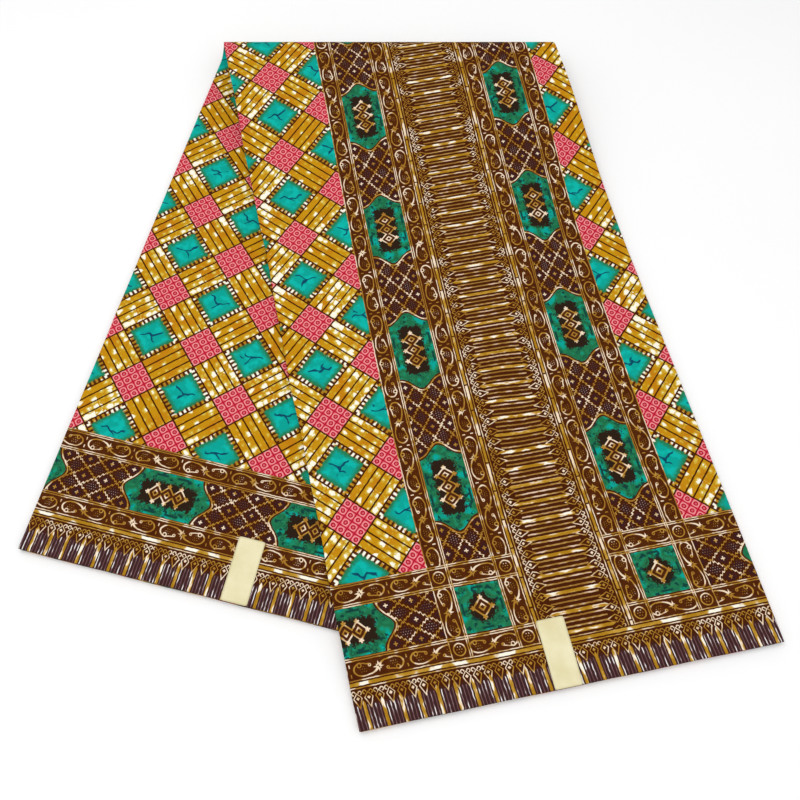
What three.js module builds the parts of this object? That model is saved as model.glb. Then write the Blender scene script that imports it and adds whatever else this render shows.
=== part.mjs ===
// A length of printed cotton, folded to and fro into a strip of many plies, then folded once
// across and laid down as an open V: the front half lies over the back half, and both hems show.
// Millimetres, +Z up. +Y runs away from the viewer, towards the fold. The origin is at the
// middle of the part's footprint, on the surface that it lies on.
import * as THREE from 'three';

// Driving sizes of the folded cloth.
const CLOTH_WIDTH = 1193; // selvedge to selvedge, along the middle of the strip
const STRIP_WIDTH = 317; // the cloth's length, folded to and fro into one strip
const FRONT_LENGTH = 611.5; // fold to front hem, along the middle of the strip
const FAN_ANGLE = THREE.MathUtils.degToRad(12.87); // lean of each half away from straight
const FRONT_HEM_SLANT = THREE.MathUtils.degToRad(1.6); // hem away from square to the strip
const BACK_HEM_SLANT = THREE.MathUtils.degToRad(1.0);

// One half of the strip is an outer cover, the hidden plies and an inner cover.
const STACK = 4.8; // seventeen plies of cotton, each about 0.28 mm with the air beside it
const COVER = 1.0;
const SEAM = 0.3; // clearance between neighbouring pieces

// The fold is soft: a round loop that stands up and eases down towards the viewer.
const LOOP_RADIUS = 13;
const EASE_LENGTH = 261;
const EASE_POWER = 4;

// Where the front half leaves the back half it comes down to the surface over a soft slope.
const SLOPE_START = 12;
const SLOPE_LENGTH = 36;

// How far each cover is tucked in past the loop, and the taper of the hidden plies there.
const TUCK = 14;
const TAPER_START = 16;
const TAPER_END = 30;

// Edges of the hidden plies: rounded folds with grooves between them.
const EDGE_FOLDS = 4;
const CORNER_INSET = 0.8;
const RIDGE_INSET = 0.2;
const GROOVE_INSET = 1.2;

// Blank labels, laid on the covers at the hems.
const LABEL_WIDTH = 21;
const LABEL_LENGTH = 50;
const LABEL_THICKNESS = 0.5;
const FRONT_LABEL_SHIFT = -5; // from the middle of the strip
const BACK_LABEL_SHIFT = 15;

// Fineness of the faces.
const COLUMNS = 16;
const FRONT_ROWS = 30;
const LOOP_ROWS = 10;

// Sizes worked out from the ones above.
const NEUTRAL_RADIUS = LOOP_RADIUS - STACK / 2;
const LOOP_TRAVEL = Math.PI * NEUTRAL_RADIUS;
const BACK_LENGTH = CLOTH_WIDTH - FRONT_LENGTH - LOOP_TRAVEL / Math.cos(FAN_ANGLE);
const LEAN = Math.tan(FAN_ANGLE);
const MIDDLE = STRIP_WIDTH / 2;

// A place on the strip is given by across, from its left edge, and travel, square to the fold:
// above zero on the front half, down to -LOOP_TRAVEL round the loop, and below that on the back.
function frontEnd(across) {
  const along = FRONT_LENGTH + MIDDLE * LEAN + (across - MIDDLE) * Math.tan(FRONT_HEM_SLANT);
  return Math.cos(FAN_ANGLE) * along - Math.sin(FAN_ANGLE) * across;
}

function backEnd(across) {
  const along = BACK_LENGTH - MIDDLE * LEAN + (across - MIDDLE) * Math.tan(BACK_HEM_SLANT);
  return -LOOP_TRAVEL - Math.cos(FAN_ANGLE) * along - Math.sin(FAN_ANGLE) * across;
}

function sideways(across, travel) {
  return across / Math.cos(FAN_ANGLE) + LEAN * travel;
}

// How far a point under the front half lies outside the back half, seen from above.
function outsideBack(x, run) {
  const across = Math.cos(FAN_ANGLE) * (x + LEAN * (LOOP_TRAVEL + run));
  const hem = -LOOP_TRAVEL - backEnd(Math.min(across, STRIP_WIDTH));
  return Math.max(across - STRIP_WIDTH, run - hem, 0);
}

// Height of the front half's underside: on the back half, on the surface, or held up by the loop.
function underside(x, run) {
  const slope = (outsideBack(x, run) - SLOPE_START) / SLOPE_LENGTH;
  const rest = (STACK + SEAM) * (1 - THREE.MathUtils.smoothstep(slope, 0, 1));
  const ease = Math.max(0, 1 - (run / EASE_LENGTH) ** 2) ** EASE_POWER;
  return rest + (2 * LOOP_RADIUS - STACK - rest) * ease;
}

// A point of the folded strip, at a depth below its outer face.
function place(across, travel, depth) {
  const x = sideways(across, travel);
  if (travel >= 0) {
    return new THREE.Vector3(x, -travel, underside(x, travel) + STACK - depth);
  }
  if (travel < -LOOP_TRAVEL) {
    return new THREE.Vector3(x, travel + LOOP_TRAVEL, depth);
  }
  const turn = -travel / NEUTRAL_RADIUS;
  const radius = LOOP_RADIUS - depth;
  return new THREE.Vector3(x, radius * Math.sin(turn), LOOP_RADIUS + radius * Math.cos(turn));
}

// A closed slab of the strip. rows gives the travel of each row at an across; outer and inner
// give its depths at a travel; rim lists the levels of its edge, each with its share of the
// thickness and its inset, from the outer face to the inner one.
function slab({ start = 0, end = STRIP_WIDTH, columns = COLUMNS, rows, outer, inner, rim }) {
  const lastRow = rows.length - 1;
  const points = [];
  const faces = [];
  const add = (i, j, { share, inset }) => {
    let across = start + ((end - start) * j) / columns;
    let travel = rows[i](across);
    const depth = THREE.MathUtils.lerp(outer(travel), inner(travel), share);
    if (j === 0) across += inset;
    if (j === columns) across -= inset;
    if (i === 0) travel -= inset;
    if (i === lastRow) travel += inset;
    return points.push(place(across, travel, depth)) - 1;
  };
  const sheet = (level, flip) => {
    const grid = rows.map((_, i) => Array.from({ length: columns + 1 }, (__, j) => add(i, j, level)));
    for (let i = 0; i < lastRow; i += 1) {
      for (let j = 0; j < columns; j += 1) {
        const [a, b] = [grid[i][j], grid[i][j + 1]];
        const [c, d] = [grid[i + 1][j + 1], grid[i + 1][j]];
        if (flip) faces.push(a, c, b, a, d, c);
        else faces.push(a, b, c, a, c, d);
      }
    }
    return grid;
  };
  const border = [];
  for (let j = 0; j < columns; j += 1) border.push([0, j]);
  for (let i = 0; i < lastRow; i += 1) border.push([i, columns]);
  for (let j = columns; j > 0; j -= 1) border.push([lastRow, j]);
  for (let i = lastRow; i > 0; i -= 1) border.push([i, 0]);

  const top = sheet(rim[0], false);
  const bottom = sheet(rim[rim.length - 1], true);
  const rings = rim.map((level, k) => border.map(([i, j]) => {
    if (k === 0) return top[i][j];
    return k === rim.length - 1 ? bottom[i][j] : add(i, j, level);
  }));
  for (let k = 0; k + 1 < rings.length; k += 1) {
    border.forEach((_, n) => {
      const next = (n + 1) % border.length;
      const [a, b] = [rings[k][n], rings[k][next]];
      const [c, d] = [rings[k + 1][next], rings[k + 1][n]];
      faces.push(a, d, c, a, c, b);
    });
  }
  const geometry = new THREE.BufferGeometry();
  geometry.setAttribute('position', new THREE.Float32BufferAttribute(
    points.flatMap((p) => p.toArray()), 3));
  geometry.setIndex(faces);
  geometry.computeVertexNormals();
  return geometry;
}

// Rows of the front half, from the hem to the loop, and of the loop itself.
const frontRows = Array.from({ length: FRONT_ROWS + 1 }, (_, i) => (across) => (
  THREE.MathUtils.lerp(frontEnd(across), TAPER_END, i / FRONT_ROWS)));
const loopRows = Array.from({ length: LOOP_ROWS + 1 }, (_, i) => () => (
  (-LOOP_TRAVEL * i) / LOOP_ROWS));
const squareRim = [{ share: 0, inset: 0 }, { share: 1, inset: 0 }];

// The ply that shows on the front half, over the fold and down behind it.
function frontCover() {
  return slab({
    rows: [...frontRows, () => TAPER_START, ...loopRows, () => -LOOP_TRAVEL - TUCK],
    outer: () => 0,
    inner: () => COVER,
    rim: squareRim,
  });
}

// The ply that shows on the back half and lines the inside of the fold.
function backCover() {
  return slab({
    rows: [() => TUCK, ...loopRows, backEnd],
    outer: () => STACK - COVER,
    inner: () => STACK,
    rim: squareRim,
  });
}

// The plies between, whose folded edges show as ridges all round the strip.
function hiddenPlies() {
  const coverDepth = COVER + SEAM;
  const taper = (distance) => 1 - THREE.MathUtils.smoothstep(distance, TAPER_START, TAPER_END);
  const rim = [{ share: 0, inset: CORNER_INSET }];
  for (let fold = 0; fold < EDGE_FOLDS; fold += 1) {
    if (fold > 0) rim.push({ share: fold / EDGE_FOLDS, inset: GROOVE_INSET });
    rim.push({ share: (fold + 0.5) / EDGE_FOLDS, inset: RIDGE_INSET });
  }
  rim.push({ share: 1, inset: CORNER_INSET });
  return slab({
    rows: [...frontRows, () => TAPER_START, ...loopRows, () => -LOOP_TRAVEL - TAPER_START,
      () => -LOOP_TRAVEL - TAPER_END, backEnd],
    outer: (travel) => coverDepth * taper(-travel - LOOP_TRAVEL),
    inner: (travel) => STACK - coverDepth * taper(travel),
    rim,
  });
}

// A blank label, made from the points of the cover that it lies on and moved out from it.
function label(shift, rows, outer) {
  const start = MIDDLE + shift - LABEL_WIDTH / 2;
  return slab({
    start,
    end: start + LABEL_WIDTH,
    columns: 1,
    rows,
    outer: () => outer,
    inner: () => outer + LABEL_THICKNESS,
    rim: squareRim,
  });
}

const labelTravel = LABEL_LENGTH * Math.cos(FAN_ANGLE);
const pieces = [
  { name: 'hidden_plies', geometry: hiddenPlies(), colour: 0x5a3a14, roughness: 0.9 },
  { name: 'front_cover', geometry: frontCover(), colour: 0xb98218, roughness: 0.75 },
  { name: 'back_cover', geometry: backCover(), colour: 0xc9921f, roughness: 0.75 },
  {
    name: 'front_label',
    geometry: label(
      FRONT_LABEL_SHIFT,
      [frontEnd, (across) => frontEnd(across) - labelTravel],
      -SEAM - LABEL_THICKNESS,
    ),
    colour: 0xe0d69c,
    roughness: 0.45,
  },
  {
    name: 'back_label',
    geometry: label(
      BACK_LABEL_SHIFT,
      [(across) => backEnd(across) + labelTravel, backEnd],
      STACK + SEAM,
    ),
    colour: 0xe0d69c,
    roughness: 0.45,
  },
];

const group = new THREE.Group();
for (const { name, geometry, colour, roughness } of pieces) {
  const material = new THREE.MeshStandardMaterial({ color: colour, roughness, metalness: 0 });
  const mesh = new THREE.Mesh(geometry, material);
  mesh.name = name;
  group.add(mesh);
}

// The middle of the footprint comes to the origin.
const middle = new THREE.Box3().setFromObject(group).getCenter(new THREE.Vector3());
group.position.set(-middle.x, -middle.y, 0);

export default group;
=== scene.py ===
"""Folded African wax print fabric: many plies of printed cotton, folded once across into an open V.

The cloth is printed flat, cut, and then laid round the folded strip. Lengths inside the classes
are millimetres, +Z up; meshes are written in metres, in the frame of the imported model.
"""
import logging
import math
from abc import ABC, abstractmethod
from dataclasses import dataclass
from enum import Enum
from typing import Sequence

import bmesh
import bpy
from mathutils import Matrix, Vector


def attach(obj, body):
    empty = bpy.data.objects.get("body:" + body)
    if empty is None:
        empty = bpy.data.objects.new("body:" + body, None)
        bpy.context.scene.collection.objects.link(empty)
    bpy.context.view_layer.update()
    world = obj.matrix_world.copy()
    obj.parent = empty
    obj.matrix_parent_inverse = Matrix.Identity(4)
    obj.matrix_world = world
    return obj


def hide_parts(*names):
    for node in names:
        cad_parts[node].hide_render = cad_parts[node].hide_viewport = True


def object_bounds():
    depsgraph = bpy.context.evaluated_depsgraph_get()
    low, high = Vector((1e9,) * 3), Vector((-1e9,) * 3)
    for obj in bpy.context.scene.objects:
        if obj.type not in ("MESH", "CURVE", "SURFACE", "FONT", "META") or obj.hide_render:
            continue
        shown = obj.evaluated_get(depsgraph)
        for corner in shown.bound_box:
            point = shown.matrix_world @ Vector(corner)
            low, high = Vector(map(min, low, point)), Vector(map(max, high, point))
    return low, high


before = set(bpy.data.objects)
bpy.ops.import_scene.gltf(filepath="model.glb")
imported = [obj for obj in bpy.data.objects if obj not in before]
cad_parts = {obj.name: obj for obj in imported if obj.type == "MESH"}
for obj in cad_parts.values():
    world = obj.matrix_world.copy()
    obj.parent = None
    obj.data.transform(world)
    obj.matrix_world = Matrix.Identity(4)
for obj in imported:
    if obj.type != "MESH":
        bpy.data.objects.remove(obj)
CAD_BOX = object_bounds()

LOG = logging.getLogger("wax_print")
METRE = 0.001  # one millimetre, in metres
PRINT_MAP = "print"
BODY = "root"
OBJECT_PLACE = 3  # output of the Texture Coordinate node with Object coordinates
COTTON_IOR = 1.45
MID_NOISE = (0.5, 0.5, 0.5)  # what a noise texture gives on average
ROOT_HALF = math.sqrt(0.5)
SOFT_RIM = 0.22  # how far dye spreads past a printed line, in millimetres

# Sockets of the Mix node that take and give colours.
MIX_UNDER = 6
MIX_OVER = 7
MIX_RESULT = 2

Stops = tuple[tuple[float, str], ...]  # places on a colour ramp, each with its colour
Waves = tuple[tuple[float, float, float], ...]


def linear(colour: str) -> tuple[float, float, float, float]:
    """Turn an sRGB hex colour into linear light.

    Args:
        colour: the colour, as "#RRGGBB".

    Returns:
        Red, green, blue and alpha.
    """
    shares = [int(colour[i:i + 2], 16) / 255 for i in (1, 3, 5)]
    lit = [s / 12.92 if s <= 0.04045 else ((s + 0.055) / 1.055) ** 2.4 for s in shares]
    return (lit[0], lit[1], lit[2], 1.0)


def smoothstep(value: float) -> float:
    """Ease a value from 0 to 1, flat at both ends."""
    share = min(1.0, max(0.0, value))
    return share * share * (3 - 2 * share)


def spread(start: float, end: float, count: int) -> list[float]:
    """Divide a length evenly, with both ends listed."""
    return [start + (end - start) * i / count for i in range(count + 1)]


def ticks(low: float, high: float, stops: Sequence[float], step: float) -> list[float]:
    """Divide a length evenly between fixed stops.

    Args:
        low: where the length starts.
        high: where it ends.
        stops: places that must be among the ticks.
        step: the widest gap allowed.

    Returns:
        The ticks, in rising order.
    """
    fixed = sorted({low, high, *(s for s in stops if low < s < high)})
    places = [low]
    for start, end in zip(fixed, fixed[1:]):
        places += spread(start, end, max(1, math.ceil((end - start) / step)))[1:]
    return places


class Half(Enum):
    """The two halves of the strip, on either side of the fold."""

    FRONT = "front"
    BACK = "back"


@dataclass(frozen=True)
class Crease:
    """One soft ridge of the cloth, seen from above: its middle, heading in degrees and size."""

    x: float
    y: float
    heading: float
    length: float
    width: float
    height: float

    def lift(self, x: float, y: float) -> float:
        """Find how far the ridge lifts the cloth.

        Args:
            x: sideways place in the model's frame.
            y: place in the model's frame, away from the viewer.

        Returns:
            Height added, above zero everywhere.
        """
        turn = math.radians(self.heading)
        dx, dy = x - self.x, y - self.y
        along = (math.cos(turn) * dx + math.sin(turn) * dy) / self.length
        across = (math.cos(turn) * dy - math.sin(turn) * dx) / self.width
        return self.height * math.exp(-along * along - across * across)


# Soft ridges: short ones run in from the long edges, with shallow troughs between.
CREASES = (
    Crease(x=-128.0, y=172.0, heading=-8.0, length=30.0, width=10.0, height=0.75),
    Crease(x=-96.0, y=58.0, heading=6.0, length=38.0, width=13.0, height=0.9),
    Crease(x=-72.0, y=-48.0, heading=-14.0, length=27.0, width=9.0, height=0.6),
    Crease(x=-42.0, y=-164.0, heading=10.0, length=34.0, width=12.0, height=0.8),
    Crease(x=-22.0, y=-252.0, heading=4.0, length=22.0, width=8.0, height=0.5),
    Crease(x=172.0, y=120.0, heading=172.0, length=33.0, width=11.0, height=0.6),
    Crease(x=214.0, y=-38.0, heading=9.0, length=29.0, width=12.0, height=0.7),
    Crease(x=247.0, y=-176.0, heading=-6.0, length=24.0, width=9.0, height=0.5),
    Crease(x=66.0, y=-30.0, heading=101.0, length=110.0, width=19.0, height=0.5),
    Crease(x=118.0, y=-246.0, heading=84.0, length=36.0, width=12.0, height=0.55),
    Crease(x=34.0, y=-272.0, heading=96.0, length=28.0, width=9.0, height=0.45),
    Crease(x=-226.0, y=22.0, heading=19.0, length=35.0, width=11.0, height=0.65),
    Crease(x=-252.0, y=-92.0, heading=7.0, length=26.0, width=10.0, height=0.55),
    Crease(x=-178.0, y=-146.0, heading=72.0, length=30.0, width=10.0, height=0.5),
    Crease(x=-108.0, y=-170.0, heading=80.0, length=22.0, width=8.0, height=0.4),
)


@dataclass(frozen=True)
class FoldedStrip:
    """The strip of many plies and the way it lies; a place on it is across, travel and depth.

    Across runs from the strip's left edge. Travel is square to the fold: above zero on the front
    half, down to minus loop_travel round the fold, and below that on the back half.
    """

    cloth_width: float = 1193.0
    width: float = 317.0
    front_length: float = 611.5
    fan: float = math.radians(12.87)
    front_slant: float = math.radians(1.6)
    back_slant: float = math.radians(1.0)
    stack: float = 4.8
    seam: float = 0.3
    loop_radius: float = 13.0
    ease_length: float = 261.0
    ease_power: int = 4
    slope_start: float = 12.0
    slope_length: float = 36.0
    tuck: float = 14.0
    taper_start: float = 16.0
    taper_end: float = 30.0
    sway_reach: float = 70.0
    sway_waves: Waves = ((0.5, 33.0, 0.6), (0.3, 13.0, 2.0))  # height, length and phase of each

    @property
    def lean(self) -> float:
        """Sideways run of a strip edge for each millimetre of travel."""
        return math.tan(self.fan)

    @property
    def neutral_radius(self) -> float:
        """Radius of the middle ply round the fold."""
        return self.loop_radius - self.stack / 2

    @property
    def loop_travel(self) -> float:
        """Travel that the fold takes up."""
        return math.pi * self.neutral_radius

    @property
    def back_length(self) -> float:
        """Length of the back half, along the middle of the strip."""
        return self.cloth_width - self.front_length - self.loop_travel / math.cos(self.fan)

    def hem(self, half: Half, across: float) -> float:
        """Find how far along the flat cloth a hem lies.

        Args:
            half: which half of the strip.
            across: distance from the strip's left edge.

        Returns:
            Length along the cloth from the fold to the hem.
        """
        middle = self.width / 2
        if half is Half.FRONT:
            slant, length = self.front_slant, self.front_length + middle * self.lean
        else:
            slant, length = self.back_slant, self.back_length - middle * self.lean
        return length + (across - middle) * math.tan(slant)

    def travel(self, half: Half, across: float, along: float) -> float:
        """Turn a place on one half's flat cloth into travel over the fold.

        Args:
            half: which half of the strip.
            across: distance from the strip's left edge.
            along: length along the cloth from the fold.

        Returns:
            The travel.
        """
        if half is Half.FRONT:
            return math.cos(self.fan) * along - math.sin(self.fan) * across
        return -self.loop_travel - math.cos(self.fan) * along - math.sin(self.fan) * across

    def end(self, half: Half, across: float) -> float:
        """Find the travel of a hem."""
        return self.travel(half, across, self.hem(half, across))

    @property
    def origin(self) -> tuple[float, float]:
        """Where the fold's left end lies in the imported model's frame."""
        low, high = CAD_BOX
        left = low[0] / METRE - self.lean * self.end(Half.BACK, 0.0)
        return left, high[1] / METRE - self.loop_radius

    def underside(self, x: float, run: float) -> float:
        """Find the height of the front half's lowest ply.

        Args:
            x: sideways place, from the fold's left end.
            run: distance from the fold towards the viewer.

        Returns:
            Height above the surface that the cloth lies on.
        """
        across = math.cos(self.fan) * (x + self.lean * (self.loop_travel + run))
        reach = -self.loop_travel - self.end(Half.BACK, min(across, self.width))
        outside = max(across - self.width, run - reach, 0.0)
        slope = smoothstep((outside - self.slope_start) / self.slope_length)
        rest = (self.stack + self.seam) * (1 - slope)
        ease = max(0.0, 1 - (run / self.ease_length) ** 2) ** self.ease_power
        return rest + (2 * self.loop_radius - self.stack - rest) * ease

    def sway(self, across: float, travel: float) -> float:
        """Find how far the front half's left edge strays from a straight line.

        Args:
            across: distance from the strip's left edge.
            travel: distance from the fold.

        Returns:
            Sideways shift, which fades inwards from the edge and towards the fold.
        """
        near = smoothstep(1 - across / self.sway_reach) * smoothstep(travel / self.sway_reach)
        return near * sum(h * math.sin(travel / length + phase) for h, length, phase in self.sway_waves)

    def place(self, across: float, travel: float, depth: float) -> Vector:
        """Lay a point of the strip in the model's frame.

        Args:
            across: distance from the strip's left edge.
            travel: distance over the fold, as the class says.
            depth: distance below the strip's outer face.

        Returns:
            The point, in metres.
        """
        left, fold = self.origin
        x = across / math.cos(self.fan) + self.lean * travel
        if travel >= 0:
            y, z = -travel, self.underside(x, travel) + self.stack - depth
            x += self.sway(across, travel)
        elif travel < -self.loop_travel:
            y, z = travel + self.loop_travel, depth
        else:
            turn = -travel / self.neutral_radius
            radius = self.loop_radius - depth
            y, z = radius * math.sin(turn), self.loop_radius + radius * math.cos(turn)
        x, y = x + left, y + fold
        z += sum(crease.lift(x, y) for crease in CREASES)
        return Vector((x, y, z)) * METRE


@dataclass(frozen=True)
class Signal:
    """A number, vector or colour that varies over a surface: one output of a material's tree."""

    socket: bpy.types.NodeSocket

    def other(self, output: int) -> "Signal":
        """Read another output of the same node."""
        return Signal(self.socket.node.outputs[output])

    def _maths(self, operation: str, *values: "Signal | float") -> "Signal":
        """Join this signal and others in one sum."""
        return add_node(self.socket.id_data, "ShaderNodeMath", (self, *values), operation=operation)

    def __add__(self, other: "Signal | float") -> "Signal":
        """Add."""
        return self._maths("ADD", other)

    def __sub__(self, other: "Signal | float") -> "Signal":
        """Subtract."""
        return self._maths("SUBTRACT", other)

    def __mul__(self, other: "Signal | float") -> "Signal":
        """Multiply."""
        return self._maths("MULTIPLY", other)

    def __truediv__(self, other: "Signal | float") -> "Signal":
        """Divide."""
        return self._maths("DIVIDE", other)

    def __abs__(self) -> "Signal":
        """Drop the sign."""
        return self._maths("ABSOLUTE")

    def __or__(self, other: "Signal | float") -> "Signal":
        """Take the greater: the union of two masks, or where two shapes overlap by distance."""
        return self._maths("MAXIMUM", other)

    def __and__(self, other: "Signal | float") -> "Signal":
        """Take the lesser: what two masks share, or the nearer of two lines by distance."""
        return self._maths("MINIMUM", other)

    def times_plus(self, factor: "Signal | float", offset: "Signal | float") -> "Signal":
        """Multiply and then add."""
        return self._maths("MULTIPLY_ADD", factor, offset)

    def outside(self) -> "Signal":
        """Turn a mask round."""
        return self.times_plus(-1.0, 1.0)

    def wrapped(self, period: float) -> "Signal":
        """Repeat a length, as the distance from the nearest multiple of the period, with its sign."""
        return self._maths("WRAP", period / 2, -period / 2)

    def nearest(self) -> "Signal":
        """Round to the nearest whole number."""
        return self._maths("ROUND")

    def near(self, place: float, half: float, soft: float = SOFT_RIM) -> "Signal":
        """Fill where this is within a distance of a place."""
        return abs(self - place).inside(half, soft)

    def above(self, limit: "Signal | float") -> "Signal":
        """Mark with 1 where this is above a limit."""
        return self._maths("GREATER_THAN", limit)

    def below(self, limit: "Signal | float") -> "Signal":
        """Mark with 1 where this is below a limit."""
        return self._maths("LESS_THAN", limit)

    def bell(self, width: float) -> "Signal":
        """Take a bell curve: 1 at zero, near 0 past twice the width."""
        share = self / width
        return (share * share * -1.0)._maths("EXPONENT")

    def wave(self, length: float) -> "Signal":
        """Take the sine of a length with the given wavelength."""
        return (self * (math.tau / length))._maths("SINE")

    def inside(self, edge: float, soft: float = SOFT_RIM) -> "Signal":
        """Fill where a distance is under an edge, with a softened rim as dye has in cotton.

        Args:
            edge: distance at which the fill ends.
            soft: width of the rim.

        Returns:
            1 inside, 0 outside.
        """
        filled = self.times_plus(-1 / soft, edge / soft + 0.5)
        filled.socket.node.use_clamp = True
        return filled


def add_node(
    tree: bpy.types.NodeTree,
    kind: str,
    inputs: Sequence | dict = (),
    output: int = 0,
    **settings: object,
) -> Signal | None:
    """Add one node with its settings and links.

    Args:
        tree: the tree to add to.
        kind: Blender's name for the node.
        inputs: values or signals, in order, or by socket name or number.
        output: which output to hand back.
        **settings: the node's own properties.

    Returns:
        The chosen output, or None from a node that has none.
    """
    node = tree.nodes.new(kind)
    for name, value in settings.items():
        setattr(node, name, value)
    pairs = inputs.items() if isinstance(inputs, dict) else enumerate(inputs)
    for key, value in pairs:
        if isinstance(value, Signal):
            tree.links.new(value.socket, node.inputs[key])
        else:
            node.inputs[key].default_value = value
    return Signal(node.outputs[output]) if node.outputs else None


@dataclass(frozen=True)
class Dyes:
    """Colours of the print and the label, as sRGB, from the look of dyed cotton in daylight."""

    gold: str = "#C28C0F"
    amber: str = "#BE7C0E"
    straw: str = "#D2B744"
    white: str = "#FAF5E2"
    brown: str = "#451B03"
    umber: str = "#542807"
    old_gold: str = "#A27228"
    line_gold: str = "#B68934"
    line_cream: str = "#F2DCBE"
    bar_gold: str = "#A87A1A"
    bar_bright: str = "#C2973A"
    tan: str = "#956A2C"
    tan_mid: str = "#B08845"
    tan_pale: str = "#E0C2A6"
    mauve: str = "#6C4A4C"
    mauve_mid: str = "#957B7C"
    mauve_pale: str = "#F2EBEA"
    aubergine: str = "#3C2222"
    dusk: str = "#37191E"
    teal: str = "#07A092"
    sea: str = "#0AB3A6"
    jade: str = "#128B69"
    green: str = "#23784F"
    moss: str = "#1B6846"
    stitch_gold: str = "#A87A1E"
    crackle: str = "#0A4660"
    pool: str = "#10403A"
    night: str = "#291C12"
    gem: str = "#4A220A"
    rose: str = "#E2616D"
    blush: str = "#EF9B9B"
    carmine: str = "#CC4058"
    crimson: str = "#B3142F"
    label: str = "#F8F1CE"
    label_shade: str = "#CCBF84"
    board: str = "#F9F9F9"
    board_pale: str = "#FFFFFF"


DYES = Dyes()


class Canvas:
    """Places on the printed cloth, in millimetres, with the tools that draw on them."""

    def __init__(self, tree: bpy.types.NodeTree, shake: float = 0.3) -> None:
        """Read the print's coordinates and shake them a little, as a hand-cut roller does.

        Args:
            tree: the material's tree.
            shake: how far the shake moves a line, at most, in millimetres.
        """
        self.tree = tree
        self.place = add_node(tree, "ShaderNodeUVMap", uv_map=PRINT_MAP)
        hand = self.noise(0.3, output=1, detail=1.0)
        centred = add_node(tree, "ShaderNodeVectorMath", (hand, MID_NOISE), operation="SUBTRACT")
        shaken = (centred, (shake * 2,) * 3, self.place)
        moved = add_node(tree, "ShaderNodeVectorMath", shaken, operation="MULTIPLY_ADD")
        self.x = add_node(tree, "ShaderNodeSeparateXYZ", (moved,))
        self.y = self.x.other(1)

    def noise(
        self,
        scale: float,
        output: int = 0,
        detail: float = 2.0,
        place: Signal | None = None,
        roughness: float = 0.5,
    ) -> Signal:
        """Read smooth noise over the cloth.

        Args:
            scale: noise cells for each millimetre.
            output: 0 for one value, 1 for three.
            detail: how many finer layers it has.
            place: where it is read, if not at the print's own place.
            roughness: strength of the finer layers.

        Returns:
            The noise, about 0 to 1.
        """
        inputs = {"Vector": place or self.place, "Scale": scale, "Detail": detail, "Roughness": roughness}
        return add_node(self.tree, "ShaderNodeTexNoise", inputs, output, noise_dimensions="2D")

    def scatter(self, place: Signal, pitch: float) -> tuple[Signal, Signal]:
        """Scatter points over the cloth.

        Args:
            place: where it is read.
            pitch: average distance between the points.

        Returns:
            Distance from the nearest point, and a chance from 0 to 1 that belongs to it.
        """
        inputs = {"Vector": place, "Scale": 1 / pitch}
        near = add_node(self.tree, "ShaderNodeTexVoronoi", inputs, voronoi_dimensions="2D")
        chance = add_node(self.tree, "ShaderNodeSeparateColor", (near.other(1),))
        return near * pitch, chance

    def point(self, x: "Signal | float", y: "Signal | float") -> Signal:
        """Join two lengths into one place."""
        return add_node(self.tree, "ShaderNodeCombineXYZ", (x, y))

    def radius(self, x: Signal, y: Signal) -> Signal:
        """Find the distance from the middle of a motif."""
        return add_node(self.tree, "ShaderNodeVectorMath", (self.point(x, y),), 1, operation="LENGTH")

    def ring(self, x: Signal, y: Signal, radius: float, half: float) -> Signal:
        """Draw a circle with a line of the given half width."""
        return self.radius(x, y).near(radius, half)

    def mix(self, mask: "Signal | float", under: "Signal | str", over: "Signal | str") -> Signal:
        """Lay one colour over another.

        Args:
            mask: 1 where the upper colour shows.
            under: the lower colour.
            over: the upper colour.

        Returns:
            The colour that shows.
        """
        shades = [linear(c) if isinstance(c, str) else c for c in (under, over)]
        inputs = {0: mask, MIX_UNDER: shades[0], MIX_OVER: shades[1]}
        return add_node(self.tree, "ShaderNodeMix", inputs, MIX_RESULT, data_type="RGBA")

    def ramp(self, value: Signal, stops: Stops) -> Signal:
        """Turn a value into a colour that blends from stop to stop."""
        return colour_ramp(self.tree, value, stops)

    def dots(self, x: Signal, y: Signal, pitch: float, size: float) -> Signal:
        """Fill a space with fine dots, in rows set half a pitch apart.

        Args:
            x: place along the rows.
            y: place across them.
            pitch: distance between dots.
            size: radius of a dot.

        Returns:
            1 on the dots.
        """
        row = (y / pitch).nearest()
        shifted = x + row * (pitch / 2)
        return self.radius(shifted.wrapped(pitch), y - row * pitch).inside(size)

    def thread(self) -> Signal:
        """Colour the drawn lines: gold, bleached to cream in patches."""
        stops = ((0.39, DYES.old_gold), (0.50, DYES.line_gold), (0.61, DYES.line_cream))
        return self.ramp(self.noise(0.08), stops)

    def ground(self) -> Signal:
        """Colour the dark ground, a little uneven where the dye took."""
        return self.mix(self.noise(0.16).inside(0.5, 0.5), DYES.umber, DYES.brown)


def colour_ramp(
    tree: bpy.types.NodeTree,
    value: Signal,
    stops: Stops,
    mode: str = "LINEAR",
) -> Signal:
    """Turn a value into a colour by a list of stops.

    Args:
        tree: the material's tree.
        value: the value, 0 to 1.
        stops: positions, each with its colour.
        mode: how colours change between the stops.

    Returns:
        The colour.
    """
    shade = add_node(tree, "ShaderNodeValToRGB", (value,))
    ramp = shade.socket.node.color_ramp
    ramp.interpolation = mode
    while len(ramp.elements) < len(stops):
        ramp.elements.new(1.0)
    for element, (position, colour) in zip(ramp.elements, stops):
        element.position = position
        element.color = linear(colour)
    return shade


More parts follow.
